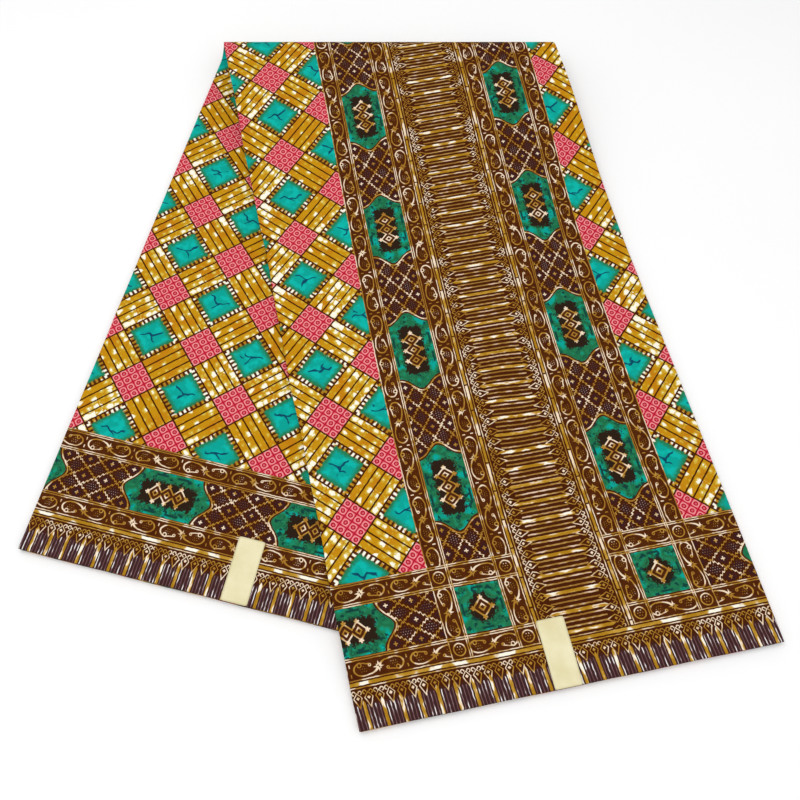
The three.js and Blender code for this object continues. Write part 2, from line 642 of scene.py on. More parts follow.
class Finish(ABC):
    """A material, built once and then shared by every piece that wears it."""

    title: str

    @abstractmethod
    def surface(self, tree: bpy.types.NodeTree) -> Signal:
        """Build the shader in the material's tree."""

    def material(self) -> bpy.types.Material:
        """Find the material, or build it the first time.

        Returns:
            The material.
        """
        made = bpy.data.materials.get(self.title)
        if made is None:
            made = bpy.data.materials.new(self.title)
            made.use_nodes = True
            made.node_tree.nodes.clear()
            add_node(made.node_tree, "ShaderNodeOutputMaterial", (self.surface(made.node_tree),))
        return made


class WaxPrint(Finish):
    """Printed cotton, calendered: matt, with a plain weave under the print."""

    weave_pitch: float = 0.9  # the threads are 0.35 mm apart in fact; drawn coarser, to show
    weave_height: float = 0.00012  # metres
    roughness: float = 0.78
    gloss: float = 0.06

    @abstractmethod
    def draw(self, canvas: Canvas) -> Signal:
        """Draw this part of the print."""

    def surface(self, tree: bpy.types.NodeTree) -> Signal:
        """Lay the print on woven cotton.

        Args:
            tree: the material's tree.

        Returns:
            The shader.
        """
        canvas = Canvas(tree)
        colour = self.draw(canvas)
        warp = add_node(tree, "ShaderNodeSeparateXYZ", (canvas.place,))
        weave = warp.wave(self.weave_pitch) * warp.other(1).wave(self.weave_pitch)
        relief = {"Strength": 0.25, "Distance": self.weave_height, "Height": weave}
        return add_node(tree, "ShaderNodeBsdfPrincipled", {
            "Base Color": colour,
            "Roughness": self.roughness,
            "IOR": COTTON_IOR,
            "Specular IOR Level": self.gloss,
            "Normal": add_node(tree, "ShaderNodeBump", relief),
        })


class LatticePrint(WaxPrint):
    """Basketwork of golden ribbons round pink and teal squares, set cornerwise."""

    title = "wax_print_lattice"
    unit: float = 44.5  # from a pink square to the next teal one
    square: float = 13.85  # half the side of a pink square
    line: float = 0.66  # half the width of the dark lines
    spot_pitch: float = 4.4
    spot_growth: float = 4.8  # radius gained by the likeliest spots
    ring_radius: float = 1.35
    ring_half: float = 0.64
    stitch_pitch: float = 4.0
    crack_half: float = 0.85
    crack_rim: float = 0.35

    def ribbons(self, c: Canvas, across: Signal, along: Signal) -> Signal:
        """Colour the golden bars, with round bleached spots in loose clouds.

        Args:
            c: the canvas.
            across: place across the ribbon.
            along: place along the ribbon.

        Returns:
            The colour.
        """
        gold = c.mix(c.noise(0.05).inside(0.42, 0.2), DYES.gold, DYES.amber)
        away, chance = c.scatter(c.point(along * 0.74, across), self.spot_pitch)
        cloud = c.noise(0.024, detail=1.0)
        size = (chance + cloud * 1.1 - 1.12) * self.spot_growth
        rim = away - size + (c.noise(0.55) - 0.5) * 2.4
        pale = c.mix(rim.inside(1.3, 1.5), gold, DYES.straw)
        return c.mix(rim.inside(0.05, 0.7), pale, DYES.white)

    def pink(self, c: Canvas, s: Signal, t: Signal) -> Signal:
        """Draw the pink squares: four by four cells, each with a ring.

        Args:
            c: the canvas.
            s: place across the square.
            t: place up the square.

        Returns:
            The colour.
        """
        pitch = self.square / 2
        x = (s + pitch / 2).wrapped(pitch)
        y = (t + pitch / 2).wrapped(pitch)
        edge = (abs(x) | abs(y)).times_plus(-1.0, pitch / 2)
        centre = c.radius(x, y)
        pale = c.mix(centre.inside(2.8, 0.8), DYES.rose, DYES.blush)
        eyed = c.mix(centre.inside(0.5), pale, DYES.carmine)
        lines = centre.near(self.ring_radius, self.ring_half) | edge.inside(0.58)
        return c.mix(lines, eyed, DYES.crimson)

    def cracks(self, c: Canvas, s: Signal, t: Signal) -> Signal:
        """Draw the crackle in a teal square: a bent stroke that forks in two.

        Args:
            c: the canvas.
            s: place across the square.
            t: place up the square.

        Returns:
            1 on the strokes.
        """
        half, rim, fade = self.crack_half, self.crack_rim, 1.2
        way = c.noise(0.015, detail=0.0).above(0.5) * 2.0 - 1.0
        x = (s + t) * ROOT_HALF * way
        y = (s - t) * ROOT_HALF + (c.noise(0.1, detail=1.0) - 0.5) * 9.0
        stem = abs(y).inside(0.75, rim) & x.near(-4.6, 5.4, fade)
        lower = abs(y + x * 0.62).inside(half, rim) & x.near(3.6, 4.6, fade)
        upper = (y - x * 0.75).near(1.6, half, rim) & x.near(0.6, 3.2, fade)
        return stem | lower | upper

    def teal(self, c: Canvas, s: Signal, t: Signal) -> Signal:
        """Draw the teal squares: crackled, with a soft green rim and stitches all round.

        Args:
            c: the canvas.
            s: place across the square.
            t: place up the square.

        Returns:
            The colour.
        """
        far, near = abs(s) | abs(t), abs(s) & abs(t)
        ragged = far.times_plus(1.0, c.noise(0.4, detail=3.0, roughness=0.65) * 4.4)
        pool = c.mix(c.noise(0.13).inside(0.47, 0.16), DYES.teal, DYES.sea)
        body = c.mix(ragged.inside(13.2, 3.4), DYES.green, pool)
        body = c.mix(self.cracks(c, s, t), body, DYES.crackle)
        stitch = abs((near - self.stitch_pitch / 2).wrapped(self.stitch_pitch)).inside(0.98, 0.5)
        thread = c.ramp(c.noise(0.11), ((0.42, DYES.stitch_gold), (0.5, DYES.gold), (0.56, DYES.white)))
        margin = c.mix(stitch, c.ground(), thread)
        return c.mix(ragged.inside(16.0, 0.8), margin, body)

    def draw(self, canvas: Canvas) -> Signal:
        """Draw the whole basketwork.

        Args:
            canvas: the canvas.

        Returns:
            The colour.
        """
        c = canvas
        pitch = self.unit * math.sqrt(2)
        s = ((c.x + c.y) * ROOT_HALF).wrapped(pitch)
        t = ((c.x - c.y) * ROOT_HALF).wrapped(pitch)
        edge_s = abs(s) - self.square
        edge_t = abs(t) - self.square
        along_s = edge_t.below(0.0)
        across = s + along_s * (t - s)
        along = t + along_s * (s - t)
        bars = abs(across.wrapped(self.square / 2)).inside(self.line)
        colour = c.mix(bars, self.ribbons(c, across, along), DYES.brown)
        colour = c.mix((edge_s | edge_t).below(0.0), colour, self.pink(c, s, t))
        teal_s = (s + pitch / 2).wrapped(pitch)
        teal_t = (t + pitch / 2).wrapped(pitch)
        colour = c.mix((edge_s & edge_t).above(0.0), colour, self.teal(c, teal_s, teal_t))
        rims = (abs(edge_s) & abs(edge_t)).inside(self.line)
        return c.mix(rims, colour, DYES.brown)


@dataclass(frozen=True)
class Curl:
    """A small ring in a motif: its middle, its radius and half the width of its line."""

    x: float
    y: float
    radius: float
    half: float

    def draw(self, c: Canvas, x: Signal, y: Signal) -> Signal:
        """Mark the ring, in the motif's own coordinates."""
        return c.ring(x - self.x, y - self.y, self.radius, self.half)


class BorderPrint(WaxPrint):
    """What the narrow borders share: two thin lines along each edge, and patches of seeds."""

    stroke: float = 0.42  # half the width of the drawn lines
    rule_middle: float = 7.55
    rule_spread: float = 0.78
    rule_half: float = 0.36
    seed: float = 0.36

    def rules(self, across: Signal) -> Signal:
        """Mark the pair of lines on each side of the border's middle."""
        return abs(abs(across) - self.rule_middle).near(self.rule_spread, self.rule_half)


class ScrollPrint(BorderPrint):
    """Border of S-shaped scrolls, each through a small star, between thin lines."""

    title = "wax_print_scrolls"
    period: float = 41.5
    loop_middle: float = 11.5  # from the star
    loop_radius: float = 4.6
    tail_curl: Curl = Curl(x=13.6, y=-2.9, radius=1.35, half=0.36)
    knob: Curl = Curl(x=6.3, y=-2.1, radius=0.85, half=0.38)

    def arm(self, c: Canvas, x: Signal, y: Signal) -> Signal:
        """Draw one arm of the scroll: a long loop whose tail turns back in two curls.

        Args:
            c: the canvas.
            x: distance from the star along the border.
            y: distance from the border's middle, above zero on the side that the arm keeps to.

        Returns:
            1 on the lines, less on the seeds.
        """
        squeeze = x.above(self.loop_middle).times_plus(0.27, 0.43)
        loop = c.radius((x - self.loop_middle) * squeeze, y)
        tail_side = x.below(12.8) & y.below(0.0)
        stem = loop.near(self.loop_radius, self.stroke) & tail_side.outside()
        tail = (y + x * 0.19).near(-1.75, self.stroke) & x.near(9.8, 3.7)
        seeds = c.dots(x, y, 1.7, self.seed) & c.radius(x - 11.3, y - 0.5).inside(2.6)
        return stem | tail | self.tail_curl.draw(c, x, y) | self.knob.draw(c, x, y) | (seeds * 0.6)

    def star(self, c: Canvas, x: Signal, y: Signal) -> Signal:
        """Draw the star: hollow, with four long points and four short ones.

        Args:
            c: the canvas.
            x: distance from its middle along the border.
            y: distance from its middle across it.

        Returns:
            1 on the star.
        """
        centre = c.radius(x, y)
        long_points = ((abs(x) & abs(y)) + centre * 0.3).inside(1.2)
        short_points = (abs(abs(x) - abs(y)) * ROOT_HALF + centre * 0.44).inside(1.12)
        return (long_points | short_points) & centre.inside(1.15).outside()

    def draw(self, canvas: Canvas) -> Signal:
        """Draw the scrolls, stars, dashes and lines on the dark ground.

        Args:
            canvas: the canvas.

        Returns:
            The colour.
        """
        c = canvas
        x = c.x.wrapped(self.period)
        side = x.above(0.0) * -2.0 + 1.0
        scroll = self.arm(c, abs(x), c.y * side)
        dash = abs(x).near(self.period / 2, self.stroke) & abs(c.y).near(3.3, 1.2)
        return c.mix(scroll | self.star(c, x, c.y) | dash | self.rules(c.y), c.ground(), c.thread())


class RingPrint(BorderPrint):
    """Crossing of two scroll borders: a ring of dots inside crossing lines."""

    title = "wax_print_rings"
    ring: Curl = Curl(x=0.0, y=0.0, radius=4.3, half=0.45)

    def draw(self, canvas: Canvas) -> Signal:
        """Draw the ring and the crossing lines.

        Args:
            canvas: the canvas.

        Returns:
            The colour.
        """
        c = canvas
        seeds = c.dots(c.x, c.y, 1.9, self.seed) & c.radius(c.x, c.y).inside(2.9)
        drawn = self.ring.draw(c, c.x, c.y) | seeds | self.rules(c.x) | self.rules(c.y)
        return c.mix(drawn, c.ground(), c.thread())


class GemPrint(WaxPrint):
    """What the medallions and the corner squares share: mottled green, a ragged dark heart, gems."""

    greens: Stops = (
        (0.33, DYES.teal), (0.41, DYES.jade), (0.46, DYES.green), (0.54, DYES.moss), (0.60, DYES.green),
        (0.65, DYES.jade), (0.71, DYES.teal),
    )
    curl_pitch: float = 4.6
    raggedness: float = 12.5

    def mottle(self, c: Canvas) -> Signal:
        """Colour the green field in patches, with dark curls.

        Args:
            c: the canvas.

        Returns:
            The colour.
        """
        away, chance = c.scatter(c.place, self.curl_pitch)
        curls = away.near(1.3, 0.3, 0.3) & chance.above(0.6)
        pools = c.noise(0.19, detail=3.0).inside(0.37, 0.04)
        return c.mix((curls * 0.75) | pools, c.ramp(c.noise(0.07), self.greens), DYES.pool)

    def heart(self, c: Canvas, far: Signal, limit: float) -> Signal:
        """Mark the dark heart, ragged along its rim."""
        torn = c.noise(0.42, detail=4.0, roughness=0.78) - 0.5
        return far.times_plus(1.0, torn * self.raggedness).inside(limit, 0.6)

    def gem(self, x: Signal, y: Signal, half_x: float, half_y: float) -> tuple[Signal, Signal]:
        """Draw one gem: a diamond outline with a small one in it.

        Args:
            x: distance from its middle along the band.
            y: distance from its middle across the band.
            half_x: half its length.
            half_y: half its height.

        Returns:
            The drawn lines, and the inside of the gem.
        """
        shape = abs(x) / half_x + abs(y) / half_y
        return shape.near(0.96, 0.11, 0.05) | shape.near(0.33, 0.1, 0.06), shape.inside(1.0)

    def cross(self, x: Signal, y: Signal, size: float = 1.8, half: float = 0.6) -> Signal:
        """Draw a small blunt cross."""
        return (abs(x) & abs(y)).inside(half) & (abs(x) | abs(y)).inside(size)


class MedallionPrint(GemPrint):
    """Band of long green medallions with three linked gems, on a trellis of dots and crosses."""

    title = "wax_print_medallions"
    period: float = 123.7
    shoulder: float = 26.4
    tip: float = 11.6  # how far the tip stands past the shoulders
    tip_width: float = 9.8
    brim: float = 1.6  # brown between the outline and the green
    gem_pitch: float = 9.9
    gem_half_x: float = 6.5
    gem_half_y: float = 7.2
    mesh_length: float = 19.0
    mesh_height: float = 14.3
    mesh_gap: float = 11.4  # from line to line, square to the lines
    step_length: float = 2.6
    step_height: float = 0.65
    line: float = 0.44

    def trellis(self, c: Canvas) -> tuple[Signal, Signal]:
        """Draw the stepped trellis, with a cross or a patch of dots in each mesh.

        Args:
            c: the canvas.

        Returns:
            The lines and crosses, less on the dots, and the darker middles of the meshes.
        """
        x = (c.x + self.period / 2).wrapped(self.period) - self.mesh_length / 2
        steps = x.wave(self.step_length) * self.step_height + (c.noise(0.4) - 0.5) * 1.3
        y = c.y + steps
        p = x / self.mesh_length + y / self.mesh_height
        q = x / self.mesh_length - y / self.mesh_height
        part_p, part_q = p.wrapped(1.0), q.wrapped(1.0)
        away = (abs(part_p) | abs(part_q)) * -self.mesh_gap + self.mesh_gap / 2
        x = (part_p + part_q) * (self.mesh_length / 2)
        y = (part_p - part_q) * (self.mesh_height / 2) - steps
        crossed = abs((p - part_p + q - part_q).wrapped(2.0)).below(0.5)
        seeds = c.dots(x, y, 1.9, 0.34) & (abs(x) * 0.8 + abs(y)).inside(4.6)
        filled = (self.cross(x, y, 1.6, 0.45) & crossed) | (seeds * crossed.times_plus(-0.35, 0.38))
        return away.inside(self.line) | filled, (away * -1.0).inside(-2.4, 0.8)

    def draw(self, canvas: Canvas) -> Signal:
        """Draw the band.

        Args:
            canvas: the canvas.

        Returns:
            The colour.
        """
        c = canvas
        x = c.x.wrapped(self.period)
        far_x, far_y = abs(x), abs(c.y)
        edge = (far_x - (far_y.bell(self.tip_width) * self.tip + self.shoulder)) * 0.78
        drawn, meshes = self.trellis(c)
        colour = c.mix(drawn, c.mix(meshes * 0.85, DYES.brown, DYES.dusk), c.thread())
        colour = c.mix(edge.inside(0.0), colour, DYES.brown)
        colour = c.mix(edge.inside(-self.brim), colour, self.mottle(c))
        strokes = far_y.near(15.2, 0.9, 0.5) & far_x.near(9.0, 5.0, 1.5)
        colour = c.mix(strokes, colour, DYES.pool)
        colour = c.mix(abs(edge).inside(0.45), colour, c.thread())
        ends = (far_x + far_y * 0.8) * 0.8 - 13.0
        heart = self.heart(c, (far_y | (far_x - 13.2)) | ends, 9.8)
        colour = c.mix(heart, colour, DYES.night)
        step = ((x / self.gem_pitch).nearest() & 1.0) | -1.0
        gem_x = x - step * self.gem_pitch
        lines, filled = self.gem(gem_x, c.y, self.gem_half_x, self.gem_half_y)
        colour = c.mix(filled, colour, DYES.gem)
        crosses = self.cross(far_x - self.gem_pitch - 6.6, c.y) | self.cross(gem_x, far_y - 7.3)
        return c.mix(lines | crosses, colour, c.thread())


class CornerPrint(GemPrint):
    """Green square with one gem, where two medallion bands cross."""

    title = "wax_print_corner"
    half_side: float = 17.2
    gem_half: float = 7.4

    def draw(self, canvas: Canvas) -> Signal:
        """Draw the square.

        Args:
            canvas: the canvas.

        Returns:
            The colour.
        """
        c = canvas
        far_x, far_y = abs(c.x), abs(c.y)
        far = far_x | far_y
        strokes = far.near(15.0, 0.8, 0.5) & (far_x & far_y).inside(4.5, 1.5)
        colour = c.mix(strokes, self.mottle(c), DYES.pool)
        heart = self.heart(c, far | ((far_x + far_y) * 0.74), 10.6)
        colour = c.mix(heart, colour, DYES.night)
        lines, filled = self.gem(c.x, c.y, self.gem_half, self.gem_half)
        colour = c.mix(filled, colour, DYES.gem)
        crosses = self.cross(far_x - 7.6, c.y) | self.cross(c.x, far_y - 7.6)
        colour = c.mix(lines | crosses, colour, c.thread())
        return c.mix((far * -1.0).inside(-self.half_side), colour, DYES.brown)


class FringePrint(WaxPrint):
    """Printed fringe along the hems: a broad line, curls, spearheads and long bars."""

    title = "wax_print_fringe"
    broad_half: float = 1.15
    broad_stops: Stops = ((0.42, DYES.bar_gold), (0.52, DYES.bar_bright), (0.56, DYES.white))
    joint: float = 0.0  # pitch of the breaks in the broad line, if it has any
    bar_pitch: float = 13.2
    bar_half: float = 1.15
    bar_stops: Stops = (
        (0.40, DYES.bar_gold), (0.55, DYES.bar_bright), (0.61, DYES.line_cream), (0.66, DYES.white),
    )
    thin_count: int = 5
    thin_half: float = 0.33
    thin_stops: Stops = ((0.46, DYES.mauve), (0.56, DYES.mauve_mid), (0.64, DYES.mauve_pale))
    thin_start: float = 14.9
    bars_end: float = 31.6
    spear_pitch: float = 7.95
    spear_middle: float = 9.7
    spear_half: float = 3.0
    spear_tip: float = 3.6
    spear_foot: float = 6.6
    line: float = 0.36
    under_bars: str = DYES.aubergine

    def spears(self, c: Canvas) -> Signal:
        """Draw the row of spearheads, each with a seed, and the curls between their tips.

        Args:
            c: the canvas.

        Returns:
            1 on the lines.
        """
        x = abs(c.x.wrapped(self.spear_pitch))
        y = c.y - self.spear_middle
        taper = y.above(0.0).times_plus(1 / self.spear_foot - 1 / self.spear_tip, 1 / self.spear_tip)
        outline = (x / self.spear_half + abs(y) * taper).near(1.0, 0.13, 0.08)
        seed = (x + abs(y)).inside(1.25)
        beside = abs((c.x + self.spear_pitch / 2).wrapped(self.spear_pitch)) - 1.7
        hooked = (c.y - 6.1).below(0.0) | beside.below(0.0)
        return outline | seed | (c.ring(beside, c.y - 5.9, 1.2, self.line) & hooked)

    def draw(self, canvas: Canvas) -> Signal:
        """Draw the fringe; y grows from the broad line to the end of the bars.

        Args:
            canvas: the canvas.

        Returns:
            The colour.
        """
        c = canvas
        colour = c.mix(c.y.inside(14.0, 4.0), self.under_bars, DYES.brown)
        streak = c.noise(1.0, place=c.point(c.x * 0.3, c.y * 0.08))
        thin = abs(c.x.wrapped(self.bar_pitch / self.thin_count)).inside(self.thin_half)
        reach = c.y.inside(self.bars_end, 0.5)
        thin = thin & (c.y * -1.0).inside(-self.thin_start, 0.5) & reach
        colour = c.mix(thin, colour, c.ramp(streak, self.thin_stops))
        colour = c.mix(self.spears(c) | abs(c.y).near(2.6, self.line), colour, c.thread())
        wide = abs(c.x.wrapped(self.bar_pitch))
        bar = wide.inside(self.bar_half) & (wide * 2.0 - c.y).inside(-11.2, 0.6) & reach
        colour = c.mix(bar, colour, c.ramp(streak, self.bar_stops))
        broad = abs(c.y).inside(self.broad_half)
        if self.joint:
            broad = broad & abs(c.x.wrapped(self.joint)).inside(0.6).outside()
        return c.mix(broad, colour, c.ramp(c.noise(0.055, detail=1.5), self.broad_stops))


class PillarPrint(FringePrint):
    """Long band of bars, as two fringes that face each other."""

    title = "wax_print_pillar"
    broad_half: float = 0.95
    broad_stops: Stops = ((0.40, DYES.bar_gold), (0.52, DYES.bar_bright), (0.60, DYES.line_cream))
    joint: float = 23.2
    bar_pitch: float = 14.6
    bar_half: float = 1.25
    thin_count: int = 4
    thin_half: float = 0.58
    thin_stops: Stops = ((0.40, DYES.tan), (0.54, DYES.tan_mid), (0.68, DYES.tan_pale))
    bars_end: float = 99.0
    spear_pitch: float = 8.5
    under_bars: str = DYES.brown


class FoldedEdgeCotton(Finish):
    """Folded edges of the plies: the same print, seen as short blocks of its colours."""

    title = "wax_print_ply_edges"
    stops: Stops = (
        (0.0, DYES.brown), (0.42, DYES.amber), (0.62, DYES.gold), (0.74, DYES.umber),
        (0.84, DYES.green), (0.93, DYES.crimson),
    )
    blocks: tuple[float, float, float] = (70.0, 70.0, 900.0)  # for each metre along x, y and z
    fuzz: float = 0.0001  # metres

    def surface(self, tree: bpy.types.NodeTree) -> Signal:
        """Build the finish, with blocks about 14 mm long that differ from ply to ply.

        Args:
            tree: the material's tree.

        Returns:
            The shader.
        """
        place = add_node(tree, "ShaderNodeTexCoord", output=OBJECT_PLACE)
        blocks = add_node(tree, "ShaderNodeMapping", {"Vector": place, "Scale": self.blocks})
        patch = add_node(tree, "ShaderNodeTexVoronoi", {"Vector": blocks, "Scale": 1.0}, 1)
        chance = add_node(tree, "ShaderNodeSeparateColor", (patch,))
        fuzz = add_node(tree, "ShaderNodeTexNoise", {"Vector": place, "Scale": 1400.0})
        relief = {"Strength": 0.3, "Distance": self.fuzz, "Height": fuzz}
        return add_node(tree, "ShaderNodeBsdfPrincipled", {
            "Base Color": colour_ramp(tree, chance, self.stops, "CONSTANT"),
            "Roughness": 0.8,
            "IOR": COTTON_IOR,
            "Sheen Weight": 0.15,
            "Normal": add_node(tree, "ShaderNodeBump", relief),
        })


@dataclass(frozen=True)
class CloudedFinish(Finish):
    """A plain matt or satin surface in one colour, faintly clouded and uneven."""

    title: str
    shade: str
    pale: str
    scale: float  # clouds for each metre
    roughness: float
    unevenness: float  # metres

    def surface(self, tree: bpy.types.NodeTree) -> Signal:
        """Build the finish.

        Args:
            tree: the material's tree.

        Returns:
            The shader.
        """
        place = add_node(tree, "ShaderNodeTexCoord", output=OBJECT_PLACE)
        cloud = add_node(tree, "ShaderNodeTexNoise", {"Vector": place, "Scale": self.scale, "Detail": 3.0})
        tones = {0: cloud, MIX_UNDER: linear(self.shade), MIX_OVER: linear(self.pale)}
        relief = {"Strength": 0.35, "Distance": self.unevenness, "Height": cloud}
        return add_node(tree, "ShaderNodeBsdfPrincipled", {
            "Base Color": add_node(tree, "ShaderNodeMix", tones, MIX_RESULT, data_type="RGBA"),
            "Roughness": self.roughness,
            "IOR": 1.5,
            "Normal": add_node(tree, "ShaderNodeBump", relief),
        })


# Gummed paper label: thin and pale yellow, with a soft gloss and faint crumples.
LABEL_PAPER = CloudedFinish(
    title="gummed_label_paper", shade=DYES.label_shade, pale=DYES.label,
    scale=48.0, roughness=0.42, unevenness=0.0012)
# Matt white studio board.
WHITE_BOARD = CloudedFinish(
    title="white_board", shade=DYES.board, pale=DYES.board_pale,
    scale=3.0, roughness=0.9, unevenness=0.0)


class Motif(Enum):
    """Parts of the print, each with its finish."""

    LATTICE = LatticePrint
    SCROLLS = ScrollPrint
    RINGS = RingPrint
    MEDALLIONS = MedallionPrint
    CORNER = CornerPrint
    FRINGE = FringePrint
    PILLAR = PillarPrint


@dataclass(frozen=True)
class Band:
    """One band of a border: its motif, where it lies, and which way its offset grows."""

    motif: Motif
    start: float
    end: float
    middle: float
    outward: float = -1.0

    def offset(self, distance: float) -> float:
        """Measure from the band's middle line."""
        return self.outward * (distance - self.middle)


# Bands from the mirror line of the long border outwards, and from a hem inwards.
LONG_BANDS = (
    Band(motif=Motif.PILLAR, start=0.0, end=35.6, middle=34.0),
    Band(motif=Motif.SCROLLS, start=35.6, end=52.0, middle=43.0),
    Band(motif=Motif.MEDALLIONS, start=52.0, end=86.0, middle=69.0),
    Band(motif=Motif.SCROLLS, start=86.0, end=102.2, middle=95.0),
)
HEM_BANDS = (
    Band(motif=Motif.FRINGE, start=-9.0, end=33.6, middle=31.5),
    Band(motif=Motif.SCROLLS, start=33.6, end=50.0, middle=40.8, outward=1.0),
    Band(motif=Motif.MEDALLIONS, start=50.0, end=85.6, middle=67.8),
    Band(motif=Motif.SCROLLS, start=85.6, end=103.6, middle=94.6, outward=1.0),
)


def band_at(bands: Sequence[Band], distance: float) -> Band | None:
    """Find the band that covers a distance, if one does."""
    return next((b for b in bands if b.start <= distance < b.end), None)


@dataclass(frozen=True)
class Drift:
    """Slow sideways wandering of the print: bowed round a middle, and steady past either end."""

    middle: float = 290.0
    reach: float = 240.0
    end: float = 600.0
    first_share: float = -1.3
    first_shift: float = 2.0
    middle_shift: float = -1.2
    bow: float = 5.0
    lean: float = 2.4

    def shift(self, down: float) -> float:
        """Find how far the print has wandered.

        Args:
            down: place along the print.

        Returns:
            The sideways shift.
        """
        share = (min(down, self.end) - self.middle) / self.reach
        if share <= self.first_share:
            return self.first_shift
        return self.middle_shift + self.bow * share ** 2 + self.lean * share ** 3


@dataclass(frozen=True)
class PrintLayout:
    """How the print lies on one half of the cloth: turned a little, and drifting sideways."""

    turn: float
    centre: tuple[float, float]
    hem: float
    axis: float | None = None
    second_lattice: tuple[float, float] = (0.0, 0.0)
    star_along_hem: float = 0.0
    medallion_along_hem: float = 0.0
    star_down: float = 163.6
    medallion_down: float = 61.0
    stretch: float = 1.0
    drift: Drift | None = None

    def wandered(self, down: float) -> float:
        """Find how far the print lies to the side, at a distance along it."""
        return self.drift.shift(down) if self.drift else 0.0

    def on_cloth(self, side: float, down: float) -> tuple[float, float]:
        """Turn a place in the print into a place on the flat cloth.

        Args:
            side: sideways place in the print.
            down: place along the print.

        Returns:
            Across and along, on the flat cloth.
        """
        a = side + self.wandered(down)
        across = self.centre[0] + math.cos(self.turn) * a - math.sin(self.turn) * down
        along = self.centre[1] + math.sin(self.turn) * a + math.cos(self.turn) * down
        return across, along

    def in_print(self, across: float, along: float) -> tuple[float, float]:
        """Turn a place on the flat cloth into a place in the print.

        Args:
            across: place across the flat cloth.
            along: place along it.

        Returns:
            Sideways place and place along the print.
        """
        x, y = across - self.centre[0], along - self.centre[1]
        down = -math.sin(self.turn) * x + math.cos(self.turn) * y
        return math.cos(self.turn) * x + math.sin(self.turn) * y - self.wandered(down), down

    def sideways(self, side: float) -> float:
        """Measure sideways from the mirror line, or from the first motif where there is none."""
        return side * self.stretch if self.axis is None else abs(side - self.axis)

    def bands(self, side: float, down: float) -> tuple[Band | None, Band | None]:
        """Find the hem band and the long band that cover a place."""
        column = None if self.axis is None else band_at(LONG_BANDS, self.sideways(side))
        return band_at(HEM_BANDS, self.hem - down), column

    def read(
        self, row: Band | None, column: Band | None, side: float, down: float
    ) -> tuple[Motif, float, float]:
        """Name the motif where two bands meet, and measure a place in its own coordinates.

        Args:
            row: the hem band.
            column: the long band.
            side: sideways place in the print.
            down: place along the print.

        Returns:
            The motif, and the place along it and across it.
        """
        a, b = self.sideways(side), self.hem - down
        if row is None and column is None:
            x, y = self.second_lattice if self.axis and side > self.axis else (0.0, 0.0)
            return Motif.LATTICE, side - x, down - y
        if row and row.motif is Motif.FRINGE:
            return Motif.FRINGE, a, row.offset(b)
        if row is None or (column and column.motif is Motif.PILLAR):
            start = self.medallion_down if column.motif is Motif.MEDALLIONS else self.star_down
            return column.motif, down - start, column.offset(a)
        if column is None:
            start = self.medallion_along_hem if row.motif is Motif.MEDALLIONS else self.star_along_hem
            return row.motif, a - start, row.offset(b)
        if column.motif is row.motif:
            corner = Motif.RINGS if row.motif is Motif.SCROLLS else Motif.CORNER
            return corner, a - column.middle, b - row.middle
        if column.motif is Motif.SCROLLS:
            return Motif.SCROLLS, row.middle - b, column.offset(a)
        return Motif.SCROLLS, a - column.middle, row.offset(b)


def fill_grid(shape: bmesh.types.BMesh, grid: list[list[bmesh.types.BMVert]]) -> None:
    """Join rows of points by four-sided faces.

    Args:
        shape: the shape that holds the points.
        grid: the rows.
    """
    for row, after in zip(grid, grid[1:]):
        for j in range(len(row) - 1):
            shape.faces.new((row[j], row[j + 1], after[j + 1], after[j]))


def turn_up(sheet: bmesh.types.BMesh) -> None:
    """Turn an open sheet so that its end nearest the viewer faces up.

    Args:
        sheet: the sheet.
    """
    sheet.normal_update()
    nearest = min(sheet.faces, key=lambda f: f.calc_center_median().y)
    if nearest.normal.z < 0:
        bmesh.ops.reverse_faces(sheet, faces=sheet.faces[:])


def finish_mesh(
    shape: bmesh.types.BMesh,
    name: str,
    finishes: Sequence[bpy.types.Material] = (),
    thickness: float = 0.0,
) -> bpy.types.Object:
    """Turn a built shape into a piece in the scene.

    Args:
        shape: the shape, which is freed.
        name: name of the piece.
        finishes: its materials, in the order of their numbers.
        thickness: wall given to a sheet, inwards from its face.

    Returns:
        The piece.
    """
    mesh = bpy.data.meshes.new(name)
    for face in shape.faces:
        face.smooth = True
    shape.to_mesh(mesh)
    shape.free()
    for material in finishes:
        mesh.materials.append(material)
    piece = bpy.data.objects.new(name, mesh)
    bpy.context.scene.collection.objects.link(piece)
    if thickness:
        wall = piece.modifiers.new("thickness", "SOLIDIFY")
        wall.thickness = thickness * METRE
        wall.offset = -1.0
    return piece


